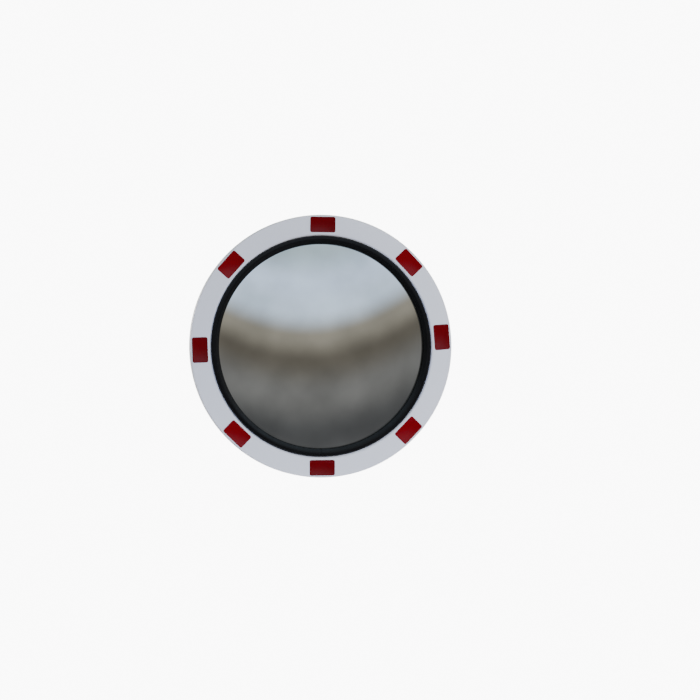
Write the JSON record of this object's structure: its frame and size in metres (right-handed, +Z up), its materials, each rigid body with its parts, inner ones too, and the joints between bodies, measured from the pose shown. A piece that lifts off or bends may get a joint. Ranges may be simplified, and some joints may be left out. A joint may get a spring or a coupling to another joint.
{
  "type": "traffic mirror",
  "caption": "Round convex road mirror in a rubber-edged frame with red reflective plates, on a pan and tilt bracket that clamps to a round post.",
  "frame": {"origin": "centre of the post in the clamp, at half the clamp's height", "axes": "+Z up along the post, -Y the way the mirror faces, +X to the viewer's right"},
  "size_m": [0.7699, 0.266, 0.77],
  "materials": {
    "shell_plastic": "pale grey moulded plastic, semi-gloss",
    "mirror": "acrylic sheet silvered on its back",
    "gasket_rubber": "extruded black EPDM",
    "reflective_red": "prismatic reflective sheet under a gloss face",
    "rivet_aluminium": "plain",
    "galvanised_steel": "hot-dip galvanised",
    "zinc_steel": "zinc plated",
    "nylon": "natural nylon"
  },
  "bodies": {
    "post_clamp": {"clamp_front": "galvanised_steel", "clamp_rear": "galvanised_steel", "clamp_bolts": "zinc_steel", "clamp_washers": "zinc_steel", "clamp_nuts": "zinc_steel", "pan_bolt": "zinc_steel", "pan_washers": "zinc_steel", "pan_nut": "zinc_steel", "pan_friction_washers": "nylon"},
    "swivel": {"swivel_knuckle": "galvanised_steel"},
    "mirror_head": {"shell": "shell_plastic", "mirror_dome": "mirror", "edge_gasket": "gasket_rubber", "reflector_right": "reflective_red", "reflector_upper_right": "reflective_red", "reflector_top": "reflective_red", "reflector_upper_left": "reflective_red", "reflector_left": "reflective_red", "reflector_lower_left": "reflective_red", "reflector_bottom": "reflective_red", "reflector_lower_right": "reflective_red", "edge_rivets": "rivet_aluminium", "stiffener_plate": "galvanised_steel", "carriage_bolts": "zinc_steel", "bracket_pad": "gasket_rubber", "bracket_washers": "zinc_steel", "bracket_nuts": "zinc_steel", "head_bracket": "galvanised_steel", "tilt_bolt": "zinc_steel", "tilt_washers": "zinc_steel", "tilt_nut": "zinc_steel", "tilt_friction_washers": "nylon"}
  },
  "joints": [
    {"name": "pan", "type": "hinge", "parent": "post_clamp", "child": "swivel", "pos_m": [0, -0.078, 0], "axis": [0, 0, 1], "range_deg": [-40, 40]},
    {"name": "tilt", "type": "hinge", "parent": "swivel", "child": "mirror_head", "pos_m": [0, -0.14, 0], "axis": [1, 0, 0], "range_deg": [-15, 15]}
  ]
}
